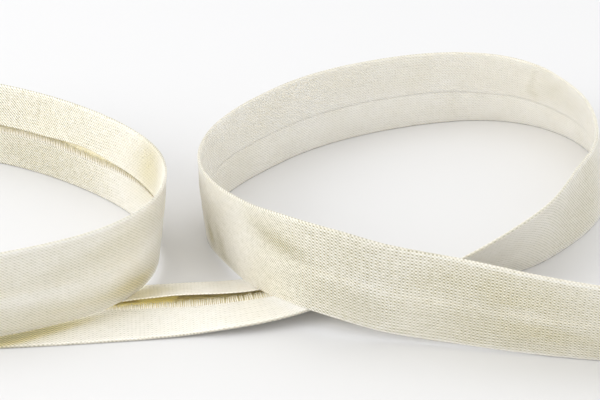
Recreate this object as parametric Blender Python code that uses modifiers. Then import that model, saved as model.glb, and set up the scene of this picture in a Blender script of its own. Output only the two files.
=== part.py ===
"""Folded bias tape that stands on edge in two open loops. Metres, +Z up.

One strip of cloth is folded across into a face and two flaps, and routed along a smooth line
through hand-picked stations. It leans, lies down and crosses itself as the stations say.
"""
import bmesh
import bpy
import numpy as np

MM = 0.001

# Driving dimensions of the tape
TAPE_WIDTH = 20.0 * MM
SLIT = 1.0 * MM
LAYER = 1.0 * MM
LAYER_GAP = 0.4 * MM
SECTION_STEP = 4.6 * MM

# Stations along the foot edge, from the right cut end to the left one, in millimetres and
# degrees: x and y of the foot, lean away from the inside of the loop (90 lies flat, face
# down), lift off the surface, and how far the raw edges of the foot and top flaps stand off.
STATIONS = (
    # Front of the right loop, from its cut end
    (102, -54.5, 18, 0, 0, 0),
    (88, -53, 14, 0, 0, 0),
    (74, -51, 9, 0.5, 0, 0),
    (60, -48.5, 3, 2, 0, 0),
    (45, -46, 0, 4, 0, 0),
    (35, -44, 0, 6, 0, 0),
    (26, -38.5, 1, 5.6, 0, 0),
    (18, -28.5, 3, 3.4, 0, 0),
    (12, -17.5, 7, 2, 0, 0),
    # Left turn of the right loop
    (8.5, -8, 6, 0.5, 0, 0),
    (8, 3, 2, 0, 0, 0),
    (11.5, 14, 0, 0, 0.3, 0.3),
    (18, 24, 1, 0, 0.3, 0.3),
    # Back of the right loop
    (28, 34.5, 1, 0, 0.4, 0.2),
    (43, 44.5, -1, 0, 0.4, 0.2),
    (60, 51, -4, 0, 0.3, 0.3),
    (75, 53, -10, 0, 0.3, 0.3),
    # Right turn
    (88, 49, -16, 0, 0.3, 0.3),
    (97, 39, -20, 0, 0.3, 0.3),
    (100, 25, -17, 0, 0.3, 0.3),
    (98.5, 12, -12, 0, 0.3, 0.3),
    (93, -1, -4, 0, 0.3, 0.3),
    # Return strip, which turns over until it lies on its face
    (85, -11, 4, 0, 0.3, 0.3),
    (74, -20, 21, 0, 0.3, 0.3),
    (61, -23, 44, 0, 0.3, 0.3),
    (47, -22.5, 65, 0, 0.2, 0.2),
    (34, -20.5, 78, 0, 0, 0),
    (24, -22, 83, 0, 0, 0),
    (15, -24, 87, 0, 0, 0),
    (6, -25, 90, 0, 2.3, 1.2),
    (-3, -26, 90, 0, 1.2, 0),
    (-12, -27, 90, 0, 0, 0),
    (-26, -28.5, 90, 0, 0, 0),
    (-40, -29.5, 90, 0, 0, 0),
    (-54, -30.5, 90, 0, 0, 0),
    # Left turn, where it stands up again
    (-70, -30, 74, 0, 0.2, 0.2),
    (-86, -25, 52, 0, 0.3, 0.3),
    (-98, -14, 34, 0, 0.3, 0.3),
    (-103, 2, 22, 0, 0.3, 0.3),
    (-98, 19, 15, 0, 0.3, 0.3),
    (-86, 31, 12, 0, 0.3, 0.6),
    (-70, 35, 11, 0, 0.3, 1),
    # Back of the left loop
    (-54, 33, 8, 0, 0.3, 1.2),
    (-38, 27, 7, 0, 0.3, 1.2),
    (-24, 18, 8, 0, 0.3, 0.8),
    (-12, 7, 8, 0, 0.3, 0.3),
    # Right turn of the left loop
    (-5, -4, 8, 0.5, 0, 0),
    (-2.5, -15, 7, 2, 0, 0),
    (-4, -26.5, 6, 2.8, 0, 0),
    # Front of the left loop, which stands on the lying strip
    (-10.5, -35.5, 5, 2.8, 0, 0),
    (-21, -42, 5, 2.8, 0, 0),
    (-34, -47, 5, 2.8, 0, 0),
    (-46, -50, 4, 2.8, 0, 0),
)
FLAT_LEAN = 90.0

FOLD_SEGMENTS = 3
DENSE_SAMPLES = 4000

IVORY = (0.83, 0.80, 0.69, 1.0)


def smooth_slopes(knots, values):
    """Return the slopes that make the cubic through the values smooth in its curvature."""
    count = len(knots)
    inverse = 1.0 / np.diff(knots)
    rise = 3.0 * np.diff(values, axis=0) * (inverse ** 2)[:, None]
    system = np.zeros((count, count))
    right = np.zeros_like(values)
    for row in range(count - 1):
        system[row, row] += 2.0 * inverse[row]
        system[row + 1, row + 1] += 2.0 * inverse[row]
        system[row, row + 1] = inverse[row]
        system[row + 1, row] = inverse[row]
        right[row] += rise[row]
        right[row + 1] += rise[row]
    return np.linalg.solve(system, right)


def cubic(knots, values, slopes, at):
    """Return the piecewise cubic through the values with the slopes, at the given places."""
    low = np.clip(np.searchsorted(knots, at, side="right") - 1, 0, len(knots) - 2)
    span = np.diff(knots)[low][:, None]
    t = (at - knots[low])[:, None] / span
    start, end = values[low], values[low + 1]
    pull = (slopes[low] * (1 - t) - slopes[low + 1] * t) * span
    return start + (end - start) * t * t * (3 - 2 * t) + pull * t * (1 - t)


def route():
    """Return the foot points, headings, leans, lifts and flap openings of the sections."""
    stations = np.array(STATIONS, dtype=float)
    plan = stations[:, :2] * MM
    knots = np.concatenate([[0.0], np.cumsum(np.linalg.norm(np.diff(plan, axis=0), axis=1))])
    dense = np.linspace(0.0, knots[-1], DENSE_SAMPLES)
    line = cubic(knots, plan, smooth_slopes(knots, plan), dense)
    run = np.concatenate([[0.0], np.cumsum(np.linalg.norm(np.diff(line, axis=0), axis=1))])
    count = int(round(run[-1] / SECTION_STEP)) + 1
    at = np.interp(np.linspace(0.0, run[-1], count), run, dense)
    foot = cubic(knots, plan, smooth_slopes(knots, plan), at)
    heading = np.gradient(foot, axis=0)
    heading /= np.linalg.norm(heading, axis=1)[:, None]
    rest = stations[:, 2:]
    rest = cubic(knots, rest, np.gradient(rest, knots, axis=0), at)
    lean = np.radians(np.minimum(rest[:, 0], FLAT_LEAN))
    lift, foot_flap, top_flap = np.maximum(rest[:, 1:], 0.0).T * MM
    return foot, heading, lean, lift, foot_flap, top_flap


def fold_profile():
    """Return the folded cloth across the tape, from one raw edge to the other.

    Each point holds its height above the foot, its place towards the face, and how much it
    follows the opening of the foot flap and of the top flap.
    """
    radius = (LAYER + LAYER_GAP) / 2
    inset = radius + LAYER / 2
    raw = (TAPE_WIDTH - SLIT) / 2
    half = [(raw, -radius, 1.0), ((raw + inset) / 2, -radius, 0.5)]
    for step in range(FOLD_SEGMENTS + 1):
        turn = np.pi * step / FOLD_SEGMENTS
        half.append((inset - radius * np.sin(turn), -radius * np.cos(turn), 0.0))
    foot_half = [(up, out, share, 0.0) for up, out, share in half]
    top_half = [(TAPE_WIDTH - up, out, 0.0, share) for up, out, share in reversed(half)]
    middle = (TAPE_WIDTH / 2, radius, 0.0, 0.0)
    return np.array(foot_half + [middle] + top_half)


def tape_points():
    """Return the points of the folded cloth, one row of the profile for each section."""
    foot, heading, lean, lift, foot_flap, top_flap = route()
    profile = fold_profile()
    outward = np.stack([-heading[:, 1], heading[:, 0]], axis=1)
    half_thick = LAYER + LAYER_GAP / 2
    base = np.column_stack([foot, lift + half_thick * np.abs(np.sin(lean))])
    up = np.column_stack([outward * np.sin(lean)[:, None], np.cos(lean)])
    face = np.column_stack([outward * np.cos(lean)[:, None], -np.sin(lean)])
    height = profile[None, :, 0]
    open_by = foot_flap[:, None] * profile[None, :, 2] + top_flap[:, None] * profile[None, :, 3]
    depth = profile[None, :, 1] - open_by
    return base[:, None] + height[..., None] * up[:, None] + depth[..., None] * face[:, None]


def build_tape(collection):
    """Fold and route a flat grid of cloth, and give it its thickness."""
    points = tape_points()
    sections, across, _ = points.shape
    cloth = bmesh.new()
    bmesh.ops.create_grid(cloth, x_segments=across - 1, y_segments=sections - 1)
    for vertex, place in zip(cloth.verts, points.reshape(-1, 3)):
        vertex.co = place
    mesh = bpy.data.meshes.new("tape")
    cloth.to_mesh(mesh)
    cloth.free()
    mesh.shade_smooth()
    tape = bpy.data.objects.new("tape", mesh)
    collection.objects.link(tape)
    solid = tape.modifiers.new("cloth thickness", "SOLIDIFY")
    solid.thickness = LAYER
    solid.offset = 0.0
    solid.use_even_offset = True
    return tape


def centre(tape):
    """Move the tape so that the bottom centre of its solid's box is the origin."""
    solid = tape.evaluated_get(bpy.context.evaluated_depsgraph_get())
    corners = np.array(solid.bound_box)
    middle = (corners.min(axis=0) + corners.max(axis=0)) / 2
    tape.location = (-middle[0], -middle[1], -corners[:, 2].min())


def paint(target, name, colour):
    """Give the object a plain cloth material of its own."""
    material = bpy.data.materials.new(name)
    material.use_nodes = True
    shader = material.node_tree.nodes["Principled BSDF"]
    shader.inputs["Base Color"].default_value = colour
    shader.inputs["Roughness"].default_value = 0.5
    target.data.materials.append(material)


def main():
    for existing in list(bpy.data.objects):
        bpy.data.objects.remove(existing, do_unlink=True)
    collection = bpy.data.collections.new("bias_tape")
    bpy.context.scene.collection.children.link(collection)
    tape = build_tape(collection)
    paint(tape, "ivory satin", IVORY)
    centre(tape)


main()
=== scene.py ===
"""Looks of the satin bias tape: one folded strip, on its edge, in two open loops."""
import math

import bmesh
import bpy
import numpy as np
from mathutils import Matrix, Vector, noise


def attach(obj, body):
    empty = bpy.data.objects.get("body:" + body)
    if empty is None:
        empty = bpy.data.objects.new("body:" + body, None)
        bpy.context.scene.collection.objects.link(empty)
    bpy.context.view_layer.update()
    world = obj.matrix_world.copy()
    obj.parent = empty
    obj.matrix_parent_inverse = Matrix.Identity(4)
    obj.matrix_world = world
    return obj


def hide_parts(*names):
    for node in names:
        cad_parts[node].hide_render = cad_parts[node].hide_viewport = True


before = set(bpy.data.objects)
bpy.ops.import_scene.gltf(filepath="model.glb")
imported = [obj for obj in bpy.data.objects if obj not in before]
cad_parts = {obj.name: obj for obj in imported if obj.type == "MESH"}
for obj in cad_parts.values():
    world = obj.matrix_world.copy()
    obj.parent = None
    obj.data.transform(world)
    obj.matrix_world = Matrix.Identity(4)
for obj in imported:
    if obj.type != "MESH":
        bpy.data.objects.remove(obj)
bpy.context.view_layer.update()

bl_info = {
    "name": "Bias Tape Loops",
    "version": (1, 0, 0),
    "blender": (4, 5, 0),
    "location": "3D View > Sidebar > Bias Tape",
    "description": "Builds a folded satin bias tape that stands in open loops",
    "category": "Object",
}

MM = 0.001
BODY = "root"
TAPE_NODE = "tape"

# Stations along the foot edge, from the right cut end to the left one, in millimetres and
# degrees. The plan is that of the solid to within a millimetre, and the lifts are lower, because
# the real layers are thinner. Each row holds x, y, lean away from the inside of the loop, lift,
# how far the raw edges of the foot and top flaps stand off the face, and the height and width
# of the slit. Where the width is 0, the raw edges meet.
STATIONS = (
    # Front of the right loop, from its cut end
    (102, -54.5, 18, 0, 0.1, 0.1, 9.6, 0.3),
    (88, -53, 14, 0, 0.1, 0.1, 9.6, 0.3),
    (74, -51, 9, 0.2, 0.1, 0.1, 9.6, 0.3),
    (60, -48.5, 3, 0.8, 0.1, 0.1, 9.6, 0.3),
    (45, -46, 0, 2, 0.1, 0.1, 9.6, 0.3),
    (35, -44, 0, 4.1, 0.1, 0.1, 9.6, 0.3),
    (26, -38.5, 1, 4.2, 0.1, 0.1, 9.6, 0.3),
    (18, -28.5, 3, 2.1, 0.1, 0.1, 9.5, 0.3),
    (12, -17.5, 6, 0.9, 0.1, 0.1, 9.4, 0.3),
    # Left turn of the right loop
    (8.2, -8, 4.5, 0.2, 0.1, 0.1, 9.3, 0.3),
    (7.6, 3, 2, 0, 0, 0.1, 9.2, 0),
    (11, 14.2, 0, 0, 0, 0.1, 9.1, 0),
    (18, 24, 1, 0, 0, 0.1, 9.1, 0),
    # Back of the right loop
    (28, 34.5, 1, 0, 0, 0.1, 9.1, 0),
    (43, 44.5, -1, 0, 0, 0.1, 9.1, 0),
    (60, 51, -4, 0, 0, 0.1, 9, 0),
    (75, 53, -10, 0, 0, 0.1, 8.6, 0),
    # Right turn
    (88, 49, -16, 0, 0, 0.06, 8.2, 0),
    (97, 39, -20, 0, 0, 0.06, 8, 0),
    (100, 25, -17, 0, 0, 0.06, 8, 0),
    (98.5, 12, -12, 0, 0, 0.06, 8, 0),
    (93, -1, -4, 0, 0, 0.06, 8, 0),
    # Return strip, which turns over until it lies on its face
    (85, -11, 4, 0, 0, 0.06, 8, 0),
    (74, -20, 21, 0, 0.3, 0.2, 8, 0.3),
    (61, -23, 44, 0, 0.4, 0.2, 8, 0.3),
    (47, -22.5, 65, 0, 0.6, 0.2, 8, 0.7),
    (34, -20, 76.5, 0, 0.6, 0.2, 9, 2),
    (24, -21.5, 81, 0, 0.8, 0.2, 9.2, 2.9),
    (15, -24, 84.5, 0, 1.1, 0.2, 9.1, 3.2),
    (6, -25, 88, 0, 1.5, 0.2, 8.8, 3.0),
    (-3, -26, 89.5, 0, 1.5, 0.2, 8.5, 2.4),
    (-12, -27, 90, 0, 0.5, 0.1, 8.0, 1.7),
    (-26, -28.5, 90, 0, 0.2, 0.1, 8.6, 0.5),
    (-40, -29.5, 90, 0, 0.1, 0.1, 9.2, 0.3),
    (-54, -30.5, 90, 0, 0.1, 0.1, 9.6, 0.3),
    # Left turn, where it stands up again
    (-70, -30, 74, 0, 0.2, 0.2, 10, 0.3),
    (-86, -25, 52, 0, 0.2, 0.3, 10.2, 0.3),
    (-98, -14, 34, 0, 0.2, 0.3, 10.4, 0.3),
    (-103, 2, 22, 0, 0.1, 0.4, 10.5, 0.3),
    (-98, 19, 15, 0, 0.1, 0.6, 10.1, 1.1),
    (-86, 31, 12, 0, 0.1, 0.9, 9.5, 2.2),
    (-70, 35, 11, 0, 0.1, 1.1, 9.4, 2.6),
    # Back of the left loop
    (-54, 33, 8, 0, 0.1, 1.1, 9.3, 2.8),
    (-38, 27, 7, 0, 0.1, 1.1, 9.4, 2.7),
    (-24, 18, 8, 0, 0.1, 1, 9.4, 2.5),
    (-12, 7, 8, 0, 0.1, 0.8, 9.3, 2.1),
    # Right turn of the left loop
    (-5, -4, 8, 0.2, 0.1, 0.4, 9.3, 0.8),
    (-2.5, -15, 7, 0.8, 0.1, 0.1, 9.7, 0.3),
    (-4, -26.5, 6, 1.3, 0.1, 0.1, 10, 0.3),
    # Front of the left loop, which stands on the lying strip
    (-10.5, -35.5, 5, 1.2, 0.1, 0.1, 10, 0.3),
    (-21, -42, 5, 1.1, 0.1, 0.1, 10, 0.3),
    (-34, -47, 5, 1.1, 0.1, 0.1, 10, 0.3),
    (-46, -50, 4, 1.1, 0.1, 0.1, 10, 0.3),
)
FLAT_LEAN = 90.0
DENSE_SAMPLES = 6000

# The move of the route that centres the solid on its own origin, in millimetres
ROUTE_SHIFT = (4.693, 3.690)

# Soft creases of the face, in millimetres and degrees: place along the tape and above its
# foot, direction from the tape's own line, half length, half width, and depth. A negative
# depth is a ridge.
CREASES = (
    (88, 13, -38, 7, 1.6, 0.22),
    (95, 9, -32, 6, 1.5, -0.16),
    (112, 7, 50, 6, 1.8, 0.16),
    (118, 12, 62, 6, 1.7, -0.2),
    (121, 5, 40, 4, 1.4, 0.14),
    (128, 13, 75, 5, 1.5, 0.16),
    (104, 15, -20, 6, 1.4, -0.12),
    (228, 14, 35, 5, 1.0, 0.2),
    (233, 15, -30, 4, 0.8, -0.2),
    (66, 11, 12, 14, 3, 0.1),
    (36, 7, -6, 12, 2.4, 0.12),
    (18, 13, 8, 12, 2.4, 0.12),
    (668, 12, -8, 12, 2.4, 0.12),
    (690, 6, 6, 12, 2.4, 0.12),
)

# Soft patches of painted light, placed as the creases are: painted shade where the satin
# catches less light, and painted sheen where the strength is negative. The strength is
# followed by the side of the tape. A strong patch turns to a painted golden glow and then to
# painted dark shadow. On the reverse, which shows through the slit, a patch of the face paints
# a golden glow on the cloth.
FACE = 1
FLAPS = -1
PATCHES = (
    (110, 4.5, 80, 4, 2.2, 1.9, FACE),
    (104, 6, 60, 3, 2, 1.1, FACE),
    (103, 1.5, 25, 5, 2, 1.1, FACE),
    (121, 8, 88, 9, 3.2, 2.1, FACE),
    (116, 15, 88, 6, 2, 0.8, FACE),
    (80, 13.2, 15, 6.5, 2, 1.1, FACE),
    (70, 10, 0, 24, 16, 0.35, FACE),
    (86, 15, 25, 4, 1.6, 0.4, FACE),
    (68, 6, 8, 12, 3, 0.3, FACE),
    (94, 12, 80, 9, 4, -0.5, FACE),
    (60, 9.6, 0, 26, 1.4, -0.25, FACE),
    (22, 10, 0, 26, 16, 1.1, FACE),
    (36, 10, 0, 12, 16, 0.5, FACE),
    (30, 9.6, 0, 16, 1.6, -0.35, FACE),
    (22, 5, 4, 12, 2.4, 0.3, FACE),
    (45, 15, -5, 10, 2.2, 0.25, FACE),
    (287, 10, 0, 14, 16, 1.2, FACE),
    (304, 10, 0, 9, 16, 0.3, FACE),
    (664, 9, -8, 14, 2.2, -0.6, FACE),
    (646, 9, 85, 12, 6, 2.1, FACE),
    (664, 2.5, 5, 11, 2.4, 1.5, FACE),
    (384, 9, 0, 22, 8, 0.9, FACE),
    (650, 13, -50, 6, 2.4, -0.3, FACE),
    (694, 10, 0, 40, 16, 0.9, FACE),
    (690, 8, 0, 12, 1.8, -0.7, FACE),
    (674, 14.5, -10, 12, 2.2, 0.6, FACE),
    (684, 3.5, 5, 12, 2.0, 0.6, FACE),
    (414, 16.4, 20, 16, 2.0, 3.4, FLAPS),
    (422, 18, 8, 9, 3, 1.6, FLAPS),
    (391, 4, 10, 9, 4, 2.0, FLAPS),
    (636, 14, 80, 11, 9, 1.7, FLAPS),
    (596, 15, 0, 34, 6, 0.45, FLAPS),
    (180, 16, 0, 50, 5, 0.4, FLAPS),
    (140, 5, 0, 20, 8, 0.4, FLAPS),
    (232, 14, 0, 22, 7, 0.4, FLAPS),
    (227.5, 11.3, -20, 1.5, 0.7, 0.9, FLAPS),
    (598, 4, 0, 20, 6, 0.8, FLAPS),
    (236, 15, 35, 6, 1.5, 0.4, FLAPS),
    (228, 16, 70, 4, 0.8, 0.6, FLAPS),
)

# How clearly the weave shows, and how far its floats line up into slanted ribs, at places
# along the tape in millimetres. The clearness scales the painted shade between the floats; it
# follows the sheen and the sharpness that the weave shows at each place, though the real
# weave is the same all along.
WEAVE_STOPS = (
    (0, 0.6, 0.2),
    (30, 0.7, 0.1),
    (50, 1.0, 0.1),
    (72, 1.2, 0.3),
    (88, 0.9, 0.9),
    (100, 0.65, 0.8),
    (112, 0.6, 0.6),
    (125, 0.6, 0.4),
    (140, 0.35, 0.3),
    (240, 0.35, 0.3),
    (265, 0.5, 0.5),
    (300, 0.6, 0.3),
    (360, 0.45, 0.1),
    (400, 0.5, 0.1),
    (560, 1.0, 0.9),
    (612, 1.0, 0.5),
    (630, 0.45, 0.5),
    (655, 0.35, 0.5),
    (710, 0.45, 0.5),
)

# How finely the cloth is divided across the tape, and the columns of points that this makes,
# from the raw edge of the foot flap to that of the top flap
FLAP_STEPS = 9
FOLD_STEPS = 6
FACE_STEPS = 20
FIRST_FACE = FLAP_STEPS + FOLD_STEPS + 1
FIRST_TOP_FOLD = FIRST_FACE + FACE_STEPS - 1
FOOT_FOLD = slice(FLAP_STEPS, FIRST_FACE)
FACE_PART = slice(FIRST_FACE, FIRST_TOP_FOLD)
TOP_FOLD = slice(FIRST_TOP_FOLD, FIRST_TOP_FOLD + FOLD_STEPS + 1)

# The first column at a raw edge is this share of the flap. It is narrow, so that the smooth
# shading of the rim doesn't spread over the flap.
RIM_SHARE = 0.015

# Form of the section: how a flap curls off the face, the groove of the face over the slit, and
# how far each layer swells between its edges
FLAP_CURL = 1.6
GROOVE_DEPTH = 0.12 * MM
GROOVE_WIDTH = 0.7 * MM
PUFF = 0.15 * MM

# Smooth unevenness: its wave lengths, its amounts, and the seed of each noise
RIPPLE_LENGTH = 7.0 * MM
EDGE_RIPPLE_LENGTH = 11.0 * MM
SLIT_WANDER = 0.12 * MM
SLIT_RIPPLE = 0.4
FLAP_RIPPLE = 0.12
NOISE_GAIN = 1.6
CLOTH_NOISE = 1.7
SLIT_PLACE_NOISE = 3.1
SLIT_WIDTH_NOISE = 5.7
FOOT_FLAP_NOISE = 7.3
TOP_FLAP_NOISE = 9.9

# Yarns in general: corners and rings of a tube, and the seeds of their random draws
YARN_SIDES = 5
YARN_RINGS = 4
FRAY_SEED = 11
FOLD_SEED = 23

# Loose yarns at the raw edges. Lengths and widths are shares of the usual ones, and the taper
# is the share of the width at the root, how fast it grows, and how much the tip loses.
LOOSE_LENGTHS = (0.8, 1.05)
LOOSE_WIDTHS = (0.85, 1.1)
LOOSE_FLATNESS = 0.5
LOOSE_SLANT = 0.06
LOOSE_ROOT = 0.4
LOOSE_GROWTH = 2.0
LOOSE_TIP = 0.5

# Where the other flap stands off, the yarns reach across the slit and are tucked in under it.
# The opening and the slit are those where they are tucked in fully, the dips say how far they
# sink, and from a small share on each yarn has a second one beside it.
TUCK_OPENING = 0.4 * MM
TUCK_SLIT = 0.6 * MM
TUCK_ROOT = 0.35 * MM
TUCK_PULL = 0.5
TUCK_RISE = 0.4
TUCK_DIPS = (-1.1, -0.8)
TUCK_SPREAD = 0.5
DOUBLE_FROM = 0.1

# Floats that stand out along the folds. The slant and the stray are shares of the weave's
# pitch, and the span is the part of a sine that shapes a float from end to end.
FLOAT_SLANT = 0.5
FLOAT_STRAY = 0.1
FLOAT_SINK = 0.5
FLOAT_SPAN = (0.15, 0.85)
FLOAT_WIDTHS = (0.8, 1.1)
FLOAT_FLATNESS = 0.8

# Weave: how far the floats stray from their lattice, and the gain and middle of its height
SATIN_STRAY = 0.28 * MM
REVERSE_STRAY = 0.25 * MM
LATTICE_HEIGHT = (0.38, 0.5)

# Scales of the noises in the materials, in turns for each metre, and their detail
STRAY_SCALE = 400.0
ROW_SCALE = 90.0
CLOUD_SCALE = 130.0
UNEVEN_SCALE = 900.0
FIBRE_SCALE = 6000.0
CLOUD_DETAIL = 3.0
PLAIN_DETAIL = 2.0

# Shares in the satin's colour and roughness. A pair is a gain and an offset. The gaps between
# the floats take painted shade, which the shaded shares deepen; the shaded shares also paint
# shade on the tone, a golden glow and a dark shadow, and the fold ticks are painted shade at
# the folds.
UNEVEN_GAPS = (0.9, 0.45)
SHADED_GAPS = 0.35
GAP_SHARPNESS = 1.6
CLOUD_TONE = (0.4, -0.17)
SHADED_TONE = 0.3
SHADED_GOLD = (0.45, -0.55)
SHADED_DARK = (0.35, -0.75)
FOLD_TICKS = (0.5, 0.5)
GAP_ROUGHNESS = (0.25, 0.36)
REVERSE_GAPS = (-0.35, 0.35)

# Shares in the colour of a yarn: the gain of its fibres, their offset on loose and on folded
# yarns, where the folded ones take mostly the painted shade of the fold lines, and how sharply
# and how far painted shade darkens a tucked tip
FIBRE_GAIN = 0.5
LOOSE_FIBRE = -0.1
FOLDED_FIBRE = 0.5
TIP_SHARPNESS = 3.0
TIP_DARK = 0.4

# Bumps, each as its strength and its height
SATIN_BUMP = (1.0, 0.04 * MM)
REVERSE_BUMP = (0.8, 0.06 * MM)
YARN_BUMP = (0.5, 0.02 * MM)

# Finishes, which are the same all over a surface
LIT_THROUGH = {
    "Subsurface Weight": 0.8,
    "Subsurface Radius": (1.0, 0.95, 0.85),
    "Subsurface Scale": 0.8 * MM,
}
SATIN_FINISH = {
    **LIT_THROUGH,
    "Metallic": 0.2,
    "Specular IOR Level": 0.75,
    "Sheen Weight": 0.15,
    "Sheen Roughness": 0.4,
    "Anisotropic": 0.5,
}
REVERSE_FINISH = {**LIT_THROUGH, "Roughness": 0.75}
YARN_FINISH = {"Roughness": 0.5, "Sheen Weight": 0.2}
TABLE_FINISH = {"Roughness": 0.7, "Specular IOR Level": 0.2}

# Values that are kept on the vertices for the materials, among them the painted shade of the
# folds, of the patches and of the tucked yarns, and the map of the unfolded cloth
CLOTH_MAP = "cloth"
FOLD_SHADE = "painted_fold_shade"
CLARITY = "weave_clarity"
RIBS = "weave_ribs"
# Painted shade, sheen and golden glow of the patches
PAINTED_SHADE = "painted_shade_and_sheen"
TUCKED = "tucked_in"

# Stage: the floor's half size in metres, the strength of the light from all round, and the
# softboxes, each with its name, place, side and power in watts
FLOOR_REACH = 3.0
ROOM_LIGHT = 1.19
WHITE = (1.0, 1.0, 1.0, 1.0)
SOFTBOXES = (
    ("top_softbox", (0.0, 0.20, 0.90), 0.60, 1.1),
    ("left_softbox", (-0.66, -0.30, 0.42), 0.45, 3.1),
)

# Camera, from the photograph's view. The lens and the sensor are in millimetres.
CAMERA_PLACE = (0.0327, -0.2983, 0.1737)
CAMERA_TILT = math.radians(61.0)
CAMERA_LENS = 93.52
CAMERA_SENSOR = 36.0
CAMERA_NEAR = 0.01


class TapeSizes(bpy.types.PropertyGroup):
    """Sizes of the folded tape."""

    width: bpy.props.FloatProperty(
        name="Finished width",
        description="Width of the tape, folded",
        default=20.0 * MM,
        unit="LENGTH",
    )
    cloth: bpy.props.FloatProperty(
        name="Cloth thickness",
        description="Thickness of one layer",
        default=0.25 * MM,
        unit="LENGTH",
    )
    fold_gap: bpy.props.FloatProperty(
        name="Fold gap",
        description="Air between the layers at a fold",
        default=0.12 * MM,
        unit="LENGTH",
    )
    section_step: bpy.props.FloatProperty(
        name="Section step",
        description="Distance between sections along the tape",
        default=0.9 * MM,
        unit="LENGTH",
    )
    ripple: bpy.props.FloatProperty(
        name="Ripple",
        description="Height of the soft unevenness of the cloth",
        default=0.06 * MM,
        unit="LENGTH",
    )
    float_along: bpy.props.FloatProperty(
        name="Weave along",
        description="Distance between floats along the tape",
        default=0.78 * MM,
        unit="LENGTH",
    )
    float_across: bpy.props.FloatProperty(
        name="Weave across",
        description="Distance between floats across the tape",
        default=0.70 * MM,
        unit="LENGTH",
    )
    yarn: bpy.props.FloatProperty(
        name="Yarn",
        description="Thickness of a single yarn",
        default=0.26 * MM,
        unit="LENGTH",
    )
    fray: bpy.props.FloatProperty(
        name="Fray",
        description="Shortest loose yarn end at a raw edge",
        default=0.12 * MM,
        unit="LENGTH",
    )


class TapeColours(bpy.types.PropertyGroup):
    """Colours of the tape and the table."""

    ivory: bpy.props.FloatVectorProperty(
        name="Ivory",
        description="Satin floats",
        default=(1.0, 0.95, 0.85, 1.0),
        size=4,
        subtype="COLOR",
    )
    # Beige gives the satin its random cloudiness and the fibres of loose yarns, and is also the
    # painted shade of the patches and of tucked yarns
    beige: bpy.props.FloatVectorProperty(
        name="Beige",
        description="Satin that catches less light, and tucked yarns",
        default=(0.62, 0.565, 0.40, 1.0),
        size=4,
        subtype="COLOR",
    )
    # Painted golden glow of light that passes through and bounces between the layers, on strong
    # patches of the satin and on patches of the reverse
    painted_glow: bpy.props.FloatVectorProperty(
        name="Gold",
        description="Strong patches of the satin, and patches of the reverse",
        default=(0.92, 0.78, 0.38, 1.0),
        size=4,
        subtype="COLOR",
    )
    # Painted shade: in the gaps between the floats, at the tips of tucked yarns, and on the
    # darkest patches
    shade: bpy.props.FloatVectorProperty(
        name="Shade",
        description="Gaps between the floats, and the darkest patches",
        default=(0.33, 0.30, 0.16, 1.0),
        size=4,
        subtype="COLOR",
    )
    # Painted shade along the fold lines, in the satin's fold ticks and on the folded yarns
    fold_line_shade: bpy.props.FloatVectorProperty(
        name="Crease",
        description="Pressed fold lines",
        default=(0.30, 0.29, 0.23, 1.0),
        size=4,
        subtype="COLOR",
    )
    reverse: bpy.props.FloatVectorProperty(
        name="Reverse",
        description="Dull inside of the folded cloth",
        default=(0.90, 0.82, 0.62, 1.0),
        size=4,
        subtype="COLOR",
    )
    table: bpy.props.FloatVectorProperty(
        name="Table",
        description="Pale floor",
        default=(0.648, 0.648, 0.652, 1.0),
        size=4,
        subtype="COLOR",
    )


def smooth_slopes(knots, values):
    """Return the slopes that make the cubic through the values smooth in its curvature."""
    count = len(knots)
    inverse = 1.0 / np.diff(knots)
    rise = 3.0 * np.diff(values, axis=0) * (inverse ** 2)[:, None]
    system = np.zeros((count, count))
    right = np.zeros_like(values)
    for row in range(count - 1):
        system[row, row] += 2.0 * inverse[row]
        system[row + 1, row + 1] += 2.0 * inverse[row]
        system[row, row + 1] = inverse[row]
        system[row + 1, row] = inverse[row]
        right[row] += rise[row]
        right[row + 1] += rise[row]
    return np.linalg.solve(system, right)


def cubic(knots, values, slopes, at):
    """Return the piecewise cubic through the values with the slopes, at the given places."""
    low = np.clip(np.searchsorted(knots, at, side="right") - 1, 0, len(knots) - 2)
    span = np.diff(knots)[low][:, None]
    t = (at - knots[low])[:, None] / span
    start, end = values[low], values[low + 1]
    pull = (slopes[low] * (1 - t) - slopes[low + 1] * t) * span
    return start + (end - start) * t * t * (3 - 2 * t) + pull * t * (1 - t)


def lengths_along(points):
    """Return how far along the line through the points each of them lies."""
    return np.concatenate([[0.0], np.cumsum(np.linalg.norm(np.diff(points, axis=0), axis=1))])


def soft_noise(places, seed):
    """Return smooth noise, about -1 to 1, for each row of places."""
    flat = [noise.noise(Vector((row[0], row[1], seed))) for row in places.reshape(-1, 2)]
    return np.array(flat).reshape(places.shape[:-1]) * NOISE_GAIN


def above_table(points, clearance):
    """Lift the points that lie nearer to the table than the clearance, and return them all."""
    points[..., 2] = np.maximum(points[..., 2], clearance)
    return points


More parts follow.
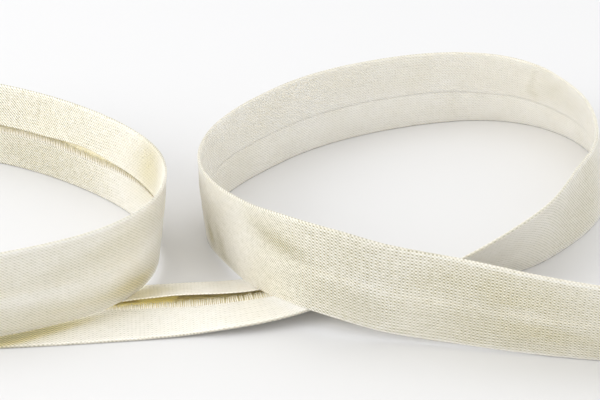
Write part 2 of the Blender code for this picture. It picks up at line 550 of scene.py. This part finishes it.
class Strip:
    """The route of the tape and its folded section, from which every piece is placed."""

    def __init__(self, sizes, step):
        stations = np.array(STATIONS, dtype=float)
        plan = (stations[:, :2] + ROUTE_SHIFT) * MM
        knots = lengths_along(plan)
        slopes = smooth_slopes(knots, plan)
        dense = np.linspace(0.0, knots[-1], DENSE_SAMPLES)
        run = lengths_along(cubic(knots, plan, slopes, dense))
        count = int(round(run[-1] / step)) + 1
        self.sizes = sizes
        self.radius = (sizes.cloth + sizes.fold_gap) / 2
        self.length = run[-1]
        self.run = np.linspace(0.0, run[-1], count)

        at = np.interp(self.run, run, dense)
        foot = cubic(knots, plan, slopes, at)
        rest = stations[:, 2:]
        rest = cubic(knots, rest, np.gradient(rest, knots, axis=0), at)
        lean = np.radians(np.minimum(rest[:, 0], FLAT_LEAN))
        lift, self.foot_flap, self.top_flap = np.maximum(rest[:, 1:4], 0.0).T * MM
        self.slit_at, self.slit = rest[:, 4:].T * MM

        heading = np.gradient(foot, axis=0)
        heading /= np.linalg.norm(heading, axis=1)[:, None]
        outward = np.stack([-heading[:, 1], heading[:, 0]], axis=1)
        half_thick = self.radius + sizes.cloth / 2
        self.base = np.column_stack([foot, lift + half_thick * np.abs(np.sin(lean))])
        self.along = np.column_stack([heading, np.zeros(count)])
        self.up = np.column_stack([outward * np.sin(lean)[:, None], np.cos(lean)])
        self.face = np.column_stack([outward * np.cos(lean)[:, None], -np.sin(lean)])

    def wander(self, seed, size):
        """Return a smooth wander along the tape, about as large as the size."""
        places = np.column_stack([self.run / EDGE_RIPPLE_LENGTH, np.zeros(len(self.run))])
        return size * soft_noise(places, seed)

    def section(self):
        """Return height, depth and place on the unfolded cloth of the points.

        Each array has a row for every section and a column for every point across.
        """
        sizes, radius = self.sizes, self.radius
        inset = radius + sizes.cloth / 2
        top = sizes.width
        rows = len(self.run)
        share = np.linspace(1.0, 0.0, FLAP_STEPS + 1)[:-1]
        share[1] = 1 - RIM_SHARE
        turn = np.linspace(0.0, math.pi, FOLD_STEPS + 1)
        part = np.linspace(0.0, 1.0, FACE_STEPS + 1)[1:-1]

        slit_at = self.slit_at + self.wander(SLIT_PLACE_NOISE, SLIT_WANDER)
        half_slit = self.slit / 2 * (1 + self.wander(SLIT_WIDTH_NOISE, SLIT_RIPPLE))
        foot_raw = slit_at - half_slit - inset
        top_raw = top - slit_at - half_slit - inset
        foot_up = inset + foot_raw[:, None] * share
        top_up = top - inset - top_raw[:, None] * share[::-1]
        fold_up = np.tile(inset - radius * np.sin(turn), (rows, 1))
        face_up = np.tile(inset + (top - 2 * inset) * part, (rows, 1))
        height = np.hstack([foot_up, fold_up, face_up, top - fold_up[:, ::-1], top_up])

        foot_open = self.foot_flap * (1 + self.wander(FOOT_FLAP_NOISE, FLAP_RIPPLE))
        top_open = self.top_flap * (1 + self.wander(TOP_FLAP_NOISE, FLAP_RIPPLE))
        puff = PUFF * np.sin(math.pi * share)
        foot_depth = -radius - foot_open[:, None] * share ** FLAP_CURL - puff
        top_depth = -radius - top_open[:, None] * share[::-1] ** FLAP_CURL - puff[::-1]
        fold_depth = np.tile(-radius * np.cos(turn), (rows, 1))
        groove = GROOVE_DEPTH * np.exp(-((face_up - slit_at[:, None]) / GROOVE_WIDTH) ** 2)
        crown = PUFF * np.sin(math.pi * face_up / top)
        face_depth = radius + crown - groove
        depth = np.hstack([foot_depth, fold_depth, face_depth, -fold_depth, top_depth])

        flat = np.hypot(np.diff(height, axis=1), np.diff(depth, axis=1))
        across = np.hstack([np.zeros((rows, 1)), np.cumsum(flat, axis=1)])
        calm = np.sin(math.pi * np.clip(height / top, 0, 1)) ** 0.5
        run = np.broadcast_to(self.run[:, None], height.shape)
        diagonals = ((run + across) / RIPPLE_LENGTH, (run - across) / RIPPLE_LENGTH / 2)
        depth = depth + sizes.ripple * calm * soft_noise(np.stack(diagonals, axis=-1), CLOTH_NOISE)
        depth[:, FACE_PART] -= self.marks(CREASES, height[:, FACE_PART]) * MM
        return height, depth, across

    def marks(self, rows, height):
        """Return the sum of the soft marks of the rows, for points of the given heights."""
        total = np.zeros_like(height)
        for run, up, angle, half_length, half_width, amount in rows:
            ahead = self.run[:, None] - run * MM
            above = height - up * MM
            turn = math.radians(angle)
            on_line = ahead * math.cos(turn) + above * math.sin(turn)
            off_line = above * math.cos(turn) - ahead * math.sin(turn)
            reach = (on_line / (half_length * MM)) ** 2 + (off_line / (half_width * MM)) ** 2
            total += amount * np.exp(-reach)
        return total

    def shader_values(self, height):
        """Return the values that the materials read, for points of the given heights."""
        # Painted shade, sheen and golden glow of the patches, on the flaps and on the face
        on_face = [row[:-1] for row in PATCHES if row[-1] == FACE]
        on_flaps = [row[:-1] for row in PATCHES if row[-1] == FLAPS]
        shade = self.marks(on_flaps, height)
        shade[:, FACE_PART] = self.marks(on_face, height[:, FACE_PART])
        fold_shading = np.zeros_like(height)
        # Painted shade across each fold, strongest at its middle
        for fold in (FOOT_FOLD, TOP_FOLD):
            fold_shading[:, fold] = np.sin(np.linspace(0.0, math.pi, FOLD_STEPS + 1))
        places, clearness, ribbing = np.array(WEAVE_STOPS).T
        clear = np.interp(self.run, places * MM, clearness)[:, None] * np.ones_like(height)
        ribbed = np.interp(self.run, places * MM, ribbing)[:, None] * np.ones_like(height)
        return {FOLD_SHADE: fold_shading, PAINTED_SHADE: shade, CLARITY: clear, RIBS: ribbed}

    def place(self, height, depth):
        """Return the points of the room for heights and depths of every section."""
        points = self.base[:, None] + height[..., None] * self.up[:, None]
        points = points + depth[..., None] * self.face[:, None]
        return above_table(points, self.sizes.cloth / 2)


def yarn_tube(mesh, line, radii, flatness, side, tip=0.0):
    """Add a tapered tube along the line, flattened across the side direction.

    The tip value says how deep the far end lies between the layers, from 0 to 1, and sets the
    painted shade of the yarn.
    """
    tucked = mesh.verts.layers.float.get(TUCKED) or mesh.verts.layers.float.new(TUCKED)
    last = len(line) - 1
    rings = []
    for index, (centre, radius) in enumerate(zip(line, radii)):
        ahead = line[min(index + 1, last)] - line[max(index - 1, 0)]
        ahead /= np.linalg.norm(ahead)
        across = side - ahead * side.dot(ahead)
        across /= np.linalg.norm(across)
        rise = np.cross(ahead, across)
        ring = []
        for corner in range(YARN_SIDES):
            turn = 2 * math.pi * corner / YARN_SIDES
            offset = across * math.cos(turn) * radius + rise * math.sin(turn) * radius * flatness
            vertex = mesh.verts.new(centre + offset)
            vertex[tucked] = tip * index / last
            ring.append(vertex)
        rings.append(ring)
    for low, high in zip(rings, rings[1:]):
        for corner in range(YARN_SIDES):
            after = (corner + 1) % YARN_SIDES
            mesh.faces.new((low[corner], low[after], high[after], high[corner])).smooth = True
    mesh.faces.new(rings[0][::-1])
    mesh.faces.new(rings[-1])


def fray_edge(ends, strip, chance, raw, inner, spare):
    """Add the loose yarns of one raw edge.

    The spare opening is how much further than this flap the other one stands off.
    """
    sizes = strip.sizes
    outward = raw - inner
    outward /= np.linalg.norm(outward, axis=1)[:, None]
    tucked = np.clip(spare / TUCK_OPENING, 0, 1) * np.clip(strip.slit / TUCK_SLIT, 0, 1)
    steps = np.linspace(0.0, 1.0, YARN_RINGS)
    taper = np.minimum(LOOSE_ROOT + LOOSE_GROWTH * steps, 1 - LOOSE_TIP * steps ** 2)
    steps = steps[:, None]
    for row in range(len(raw)):
        along, face = strip.along[row], strip.face[row]
        length = sizes.fray + tucked[row] * (strip.slit[row] - TUCK_PULL * spare[row])
        length = max(length * chance.uniform(*LOOSE_LENGTHS), sizes.fray)
        ahead = outward[row] + along * chance.uniform(-LOOSE_SLANT, LOOSE_SLANT)
        dip = face * spare[row] * TUCK_RISE * chance.uniform(*TUCK_DIPS)
        start = raw[row] - outward[row] * (sizes.yarn / 2 + TUCK_ROOT * tucked[row])
        start = start - face * (sizes.cloth / 2) * tucked[row]
        line = above_table(start + ahead * length * steps + dip * steps, sizes.yarn / 2)
        radii = sizes.yarn / 2 * taper * chance.uniform(*LOOSE_WIDTHS)
        radii = radii * (1 + TUCK_SPREAD * tucked[row])
        yarn_tube(ends, line, radii, LOOSE_FLATNESS, along, tucked[row])
        if tucked[row] > DOUBLE_FROM:
            beside = (along * sizes.float_along + face * sizes.cloth) / 2
            line = above_table(line + beside, sizes.yarn / 2)
            yarn_tube(ends, line, radii, LOOSE_FLATNESS, along, tucked[row])


def new_material(name, finish):
    """Return a fresh material with the finish, its node tree and its shader."""
    material = bpy.data.materials.new(name)
    material.use_nodes = True
    shader = material.node_tree.nodes["Principled BSDF"]
    for socket, value in finish.items():
        shader.inputs[socket].default_value = value
    return material, material.node_tree, shader


def math_node(tree, operation, *values):
    """Add a Math node and return its output. Values are numbers or sockets."""
    node = tree.nodes.new("ShaderNodeMath")
    node.operation = operation
    for socket, value in zip(node.inputs, values):
        if isinstance(value, (int, float)):
            socket.default_value = value
        else:
            tree.links.new(value, socket)
    return node.outputs[0]


def scaled(tree, value, gain, offset):
    """Return the value times the gain plus the offset."""
    return math_node(tree, "MULTIPLY_ADD", value, gain, offset)


def product(tree, first, second):
    """Return one value times the other."""
    return math_node(tree, "MULTIPLY", first, second)


def mix_node(tree, share, first, second):
    """Mix two colours by the share socket. Each colour is a value or a socket."""
    mix = tree.nodes.new("ShaderNodeMix")
    mix.data_type = "RGBA"
    tree.links.new(share, mix.inputs["Factor"])
    for socket, colour in ((mix.inputs["A"], first), (mix.inputs["B"], second)):
        if isinstance(colour, bpy.types.NodeSocket):
            tree.links.new(colour, socket)
        else:
            socket.default_value = colour
    return mix.outputs["Result"]


def noise_node(tree, vector, scale, detail=PLAIN_DETAIL):
    """Add a noise texture over the vector and return its value."""
    texture = tree.nodes.new("ShaderNodeTexNoise")
    texture.inputs["Scale"].default_value = scale
    texture.inputs["Detail"].default_value = detail
    tree.links.new(vector, texture.inputs["Vector"])
    return texture.outputs[0]


def attribute_node(tree, name):
    """Add an Attribute node for a value kept on the vertices, and return that value."""
    attribute = tree.nodes.new("ShaderNodeAttribute")
    attribute.attribute_name = name
    return attribute.outputs["Fac"]


def cloth_place(tree):
    """Add the map of the unfolded cloth, in metres along and across it, and return it."""
    uv = tree.nodes.new("ShaderNodeUVMap")
    uv.uv_map = CLOTH_MAP
    return uv.outputs["UV"]


def add_bump(tree, shader, height, strength, distance):
    """Raise the surface by the height socket."""
    bump = tree.nodes.new("ShaderNodeBump")
    bump.inputs["Strength"].default_value = strength
    bump.inputs["Distance"].default_value = distance
    tree.links.new(height, bump.inputs["Height"])
    tree.links.new(bump.outputs[0], shader.inputs["Normal"])


def weave_height(tree, place, sizes, stray):
    """Return the height of the bias weave, 0 to 1: a lattice of floats that strays a little."""
    split = tree.nodes.new("ShaderNodeSeparateXYZ")
    tree.links.new(place, split.inputs[0])
    moved_by = scaled(tree, noise_node(tree, place, STRAY_SCALE), stray, -stray / 2)
    angles = []
    for distance, pitch in zip(split.outputs, (sizes.float_along, sizes.float_across)):
        moved = math_node(tree, "ADD", distance, moved_by)
        angles.append(product(tree, moved, 2 * math.pi / pitch))
    along, across = angles
    row = math_node(tree, "COSINE", across)
    dots = product(tree, math_node(tree, "COSINE", along), row)
    slant = product(tree, math_node(tree, "SINE", along), math_node(tree, "SINE", across))
    ribbed = attribute_node(tree, RIBS)
    lattice = scaled(tree, slant, ribbed, dots)
    unribbed = math_node(tree, "SUBTRACT", 1.0, ribbed)
    rows = product(tree, unribbed, noise_node(tree, place, ROW_SCALE))
    lattice = scaled(tree, row, rows, lattice)
    return scaled(tree, lattice, *LATTICE_HEIGHT)


def satin_material(sizes, colours):
    """Satin on the bias: rows of floats with painted shade in the gaps, soft cloudiness, patches
    of painted shade, sheen and glow, and a sheen.
    """
    material, tree, shader = new_material("ivory_satin", SATIN_FINISH)
    place = cloth_place(tree)
    weave = weave_height(tree, place, sizes, SATIN_STRAY)
    shade = attribute_node(tree, PAINTED_SHADE)
    strength = scaled(tree, noise_node(tree, place, UNEVEN_SCALE), *UNEVEN_GAPS)
    strength = scaled(tree, shade, SHADED_GAPS, strength)
    # Painted shade in the gaps between the floats, deepened by the patches and scaled by the
    # clarity
    gaps = product(tree, math_node(tree, "SUBTRACT", 1.0, weave), strength)
    gaps = math_node(tree, "POWER", math_node(tree, "MAXIMUM", gaps, 0.0), GAP_SHARPNESS)
    gaps = product(tree, gaps, attribute_node(tree, CLARITY))
    add_bump(tree, shader, product(tree, weave, strength), *SATIN_BUMP)

    tone = scaled(tree, noise_node(tree, place, CLOUD_SCALE, CLOUD_DETAIL), *CLOUD_TONE)
    # Painted shade of the patches on the tone, over its random cloudiness
    tone = scaled(tree, shade, SHADED_TONE, tone)
    colour = mix_node(tree, tone, colours.ivory, colours.beige)
    # Painted golden glow on the strong patches
    colour = mix_node(tree, scaled(tree, shade, *SHADED_GOLD), colour, colours.painted_glow)
    # Painted dark shadow on the strongest patches
    colour = mix_node(tree, scaled(tree, shade, *SHADED_DARK), colour, colours.shade)
    colour = mix_node(tree, gaps, colour, colours.shade)
    # Ticks of painted shade along the folds
    ticks = product(tree, attribute_node(tree, FOLD_SHADE), scaled(tree, gaps, *FOLD_TICKS))
    colour = mix_node(tree, ticks, colour, colours.fold_line_shade)
    tree.links.new(colour, shader.inputs["Base Color"])
    tree.links.new(scaled(tree, gaps, *GAP_ROUGHNESS), shader.inputs["Roughness"])
    return material


def reverse_material(sizes, colours):
    """Dull reverse of the cloth, seen through the slit, with the same weave, painted shade between
    its floats and a painted golden glow on its patches.
    """
    material, tree, shader = new_material("dull_reverse", REVERSE_FINISH)
    weave = weave_height(tree, cloth_place(tree), sizes, REVERSE_STRAY)
    # Painted golden glow on the patches of the reverse
    colour = mix_node(tree, attribute_node(tree, PAINTED_SHADE), colours.reverse, colours.painted_glow)
    # Painted shade between the floats of the reverse
    colour = mix_node(tree, scaled(tree, weave, *REVERSE_GAPS), colour, colours.shade)
    tree.links.new(colour, shader.inputs["Base Color"])
    add_bump(tree, shader, weave, *REVERSE_BUMP)
    return material


def yarn_material(name, colours, dark, offset):
    """Single yarns with fine fibres along them, which darken with painted shade where they are
    tucked in.
    """
    material, tree, shader = new_material(name, YARN_FINISH)
    place = tree.nodes.new("ShaderNodeTexCoord").outputs["Object"]
    fibre = noise_node(tree, place, FIBRE_SCALE)
    colour = mix_node(tree, scaled(tree, fibre, FIBRE_GAIN, offset), colours.ivory, dark)
    tucked = attribute_node(tree, TUCKED)
    # Painted shade on the tucked part of a yarn, darkest at its tip
    colour = mix_node(tree, tucked, colour, colours.beige)
    tip = product(tree, math_node(tree, "POWER", tucked, TIP_SHARPNESS), TIP_DARK)
    colour = mix_node(tree, tip, colour, colours.shade)
    tree.links.new(colour, shader.inputs["Base Color"])
    add_bump(tree, shader, fibre, *YARN_BUMP)
    return material


def table_material(colours):
    """Plain pale floor."""
    material, _, shader = new_material("pale_table", TABLE_FINISH)
    shader.inputs["Base Color"].default_value = colours.table
    return material


def tape_settings(context):
    """Return the sizes and the colours of the scene."""
    return context.scene.bias_tape_sizes, context.scene.bias_tape_colours


def finished_mesh(name, shape):
    """Return a mesh of the name with the shape, which is freed."""
    mesh = bpy.data.meshes.new(name)
    shape.to_mesh(mesh)
    shape.free()
    return mesh


def add_piece(context, name, shape, material):
    """Link a piece of the tape, give it its material and fix it to the frame."""
    mesh = finished_mesh(name, shape)
    piece = bpy.data.objects.new(name, mesh)
    context.scene.collection.objects.link(piece)
    mesh.materials.append(material)
    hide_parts(TAPE_NODE)
    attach(piece, BODY)
    return piece


class BIASTAPE_OT_strip(bpy.types.Operator):
    """Build the folded satin strip on its route"""

    bl_idname = "biastape.strip"
    bl_label = "Folded strip"

    def execute(self, context):
        sizes, colours = tape_settings(context)
        strip = Strip(sizes, sizes.section_step)
        height, depth, across = strip.section()
        points = strip.place(height, depth)
        rows, columns, _ = points.shape
        cloth = bmesh.new()
        cloth_map = cloth.loops.layers.uv.new(CLOTH_MAP)
        values = strip.shader_values(height)
        layers = [cloth.verts.layers.float.new(name) for name in values]
        bmesh.ops.create_grid(cloth, x_segments=columns - 1, y_segments=rows - 1)
        cloth.verts.ensure_lookup_table()
        for vertex, place in zip(cloth.verts, points.reshape(-1, 3)):
            vertex.co = place
        for layer, amounts in zip(layers, values.values()):
            for vertex, amount in zip(cloth.verts, amounts.reshape(-1)):
                vertex[layer] = amount
        map_along = np.repeat(strip.run, columns)
        map_across = across.reshape(-1)
        for face in cloth.faces:
            face.smooth = True
            for loop in face.loops:
                index = loop.vert.index
                loop[cloth_map].uv = (map_along[index], map_across[index])
        piece = add_piece(context, "satin_strip", cloth, satin_material(sizes, colours))
        piece.data.materials.append(reverse_material(sizes, colours))
        solid = piece.modifiers.new("cloth thickness", "SOLIDIFY")
        solid.thickness = sizes.cloth
        solid.offset = 0.0
        solid.use_even_offset = True
        solid.material_offset = 1
        return {"FINISHED"}


class BIASTAPE_OT_fray(bpy.types.Operator):
    """Add the loose yarn ends along both raw edges"""

    bl_idname = "biastape.fray"
    bl_label = "Frayed raw edges"

    def execute(self, context):
        sizes, colours = tape_settings(context)
        strip = Strip(sizes, sizes.float_along)
        height, depth, _ = strip.section()
        points = strip.place(height, depth)
        chance = np.random.default_rng(FRAY_SEED)
        ends = bmesh.new()
        foot_spare = np.maximum(strip.top_flap - strip.foot_flap, 0.0)
        top_spare = np.maximum(strip.foot_flap - strip.top_flap, 0.0)
        fray_edge(ends, strip, chance, points[:, 0], points[:, 1], foot_spare)
        fray_edge(ends, strip, chance, points[:, -1], points[:, -2], top_spare)
        material = yarn_material("loose_yarn", colours, colours.beige, LOOSE_FIBRE)
        add_piece(context, "frayed_edges", ends, material)
        return {"FINISHED"}


class BIASTAPE_OT_folds(bpy.types.Operator):
    """Add the floats that stand out where the cloth is folded over"""

    bl_idname = "biastape.folds"
    bl_label = "Folded edges"

    def execute(self, context):
        sizes, colours = tape_settings(context)
        strip = Strip(sizes, sizes.float_along)
        height, depth, _ = strip.section()
        chance = np.random.default_rng(FOLD_SEED)
        floats = bmesh.new()
        slants = np.linspace(-0.5, 0.5, FOLD_STEPS + 1)[:, None] * FLOAT_SLANT
        bulge = np.sin(np.linspace(*FLOAT_SPAN, FOLD_STEPS + 1) * math.pi)
        swell = 1 + (sizes.cloth / 2 - sizes.yarn * FLOAT_SINK) / strip.radius
        for fold in (FOOT_FOLD, TOP_FOLD):
            up, out = height[:, fold], depth[:, fold]
            middle_up = up[:, [0, -1]].mean(axis=1)[:, None]
            lines = strip.place(middle_up + (up - middle_up) * swell, out * swell)
            for line, along in zip(lines, strip.along):
                slant = slants + chance.uniform(-FLOAT_STRAY, FLOAT_STRAY)
                path = line + along * slant * sizes.float_along
                radii = sizes.yarn / 2 * bulge * chance.uniform(*FLOAT_WIDTHS)
                yarn_tube(floats, path, radii, FLOAT_FLATNESS, along)
        # The folded yarns take mostly the painted shade of the fold lines
        material = yarn_material("folded_yarn", colours, colours.fold_line_shade, FOLDED_FIBRE)
        add_piece(context, "folded_edges", floats, material)
        return {"FINISHED"}


def add_floor(context, colours):
    """Lay the pale table top that the tape stands on."""
    floor = bmesh.new()
    bmesh.ops.create_grid(floor, x_segments=1, y_segments=1, size=FLOOR_REACH)
    table = bpy.data.objects.new("table_top", finished_mesh("table_top", floor))
    context.scene.collection.objects.link(table)
    table.data.materials.append(table_material(colours))


def add_room_light(context):
    """Light the scene evenly from all round."""
    world = bpy.data.worlds.new("studio")
    world.use_nodes = True
    background = world.node_tree.nodes["Background"]
    background.inputs["Color"].default_value = WHITE
    background.inputs["Strength"].default_value = ROOM_LIGHT
    context.scene.world = world


def add_softbox(context, name, place, size, power):
    """Add a square softbox at a place, turned towards the middle of the table."""
    data = bpy.data.lights.new(name, "AREA")
    data.shape = "SQUARE"
    data.size = size
    data.energy = power
    light = bpy.data.objects.new(name, data)
    light.location = place
    direction = Vector() - Vector(place)
    light.rotation_euler = direction.to_track_quat("-Z", "Y").to_euler()
    context.scene.collection.objects.link(light)


def add_camera(context):
    """Set the camera to the photograph's view."""
    data = bpy.data.cameras.new("photo_view")
    data.lens = CAMERA_LENS
    data.sensor_width = CAMERA_SENSOR
    data.clip_start = CAMERA_NEAR
    camera = bpy.data.objects.new("photo_view", data)
    camera.location = CAMERA_PLACE
    camera.rotation_euler = (CAMERA_TILT, 0.0, 0.0)
    context.scene.collection.objects.link(camera)
    context.scene.camera = camera


class BIASTAPE_OT_stage(bpy.types.Operator):
    """Lay the pale floor, and set the lights and the camera"""

    bl_idname = "biastape.stage"
    bl_label = "Stage"

    def execute(self, context):
        add_floor(context, tape_settings(context)[1])
        add_room_light(context)
        for softbox in SOFTBOXES:
            add_softbox(context, *softbox)
        add_camera(context)
        context.scene.view_settings.view_transform = "Standard"
        return {"FINISHED"}


class BIASTAPE_PT_panel(bpy.types.Panel):
    """Buttons of the bias tape"""

    bl_idname = "BIASTAPE_PT_panel"
    bl_label = "Bias Tape"
    bl_space_type = "VIEW_3D"
    bl_region_type = "UI"
    bl_category = "Bias Tape"

    def draw(self, context):
        for settings in tape_settings(context):
            for name in settings.__annotations__:
                self.layout.prop(settings, name)
        for operator in OPERATORS:
            self.layout.operator(operator.bl_idname)


OPERATORS = (BIASTAPE_OT_fray, BIASTAPE_OT_folds, BIASTAPE_OT_strip, BIASTAPE_OT_stage)
CLASSES = (TapeSizes, TapeColours, *OPERATORS, BIASTAPE_PT_panel)


def register():
    for item in CLASSES:
        bpy.utils.register_class(item)
    bpy.types.Scene.bias_tape_sizes = bpy.props.PointerProperty(type=TapeSizes)
    bpy.types.Scene.bias_tape_colours = bpy.props.PointerProperty(type=TapeColours)


def unregister():
    del bpy.types.Scene.bias_tape_colours
    del bpy.types.Scene.bias_tape_sizes
    for item in reversed(CLASSES):
        bpy.utils.unregister_class(item)


def main():
    register()
    bpy.ops.biastape.fray()
    bpy.ops.biastape.folds()
    bpy.ops.biastape.strip()
    bpy.ops.biastape.stage()


if __name__ == "__main__":
    main()
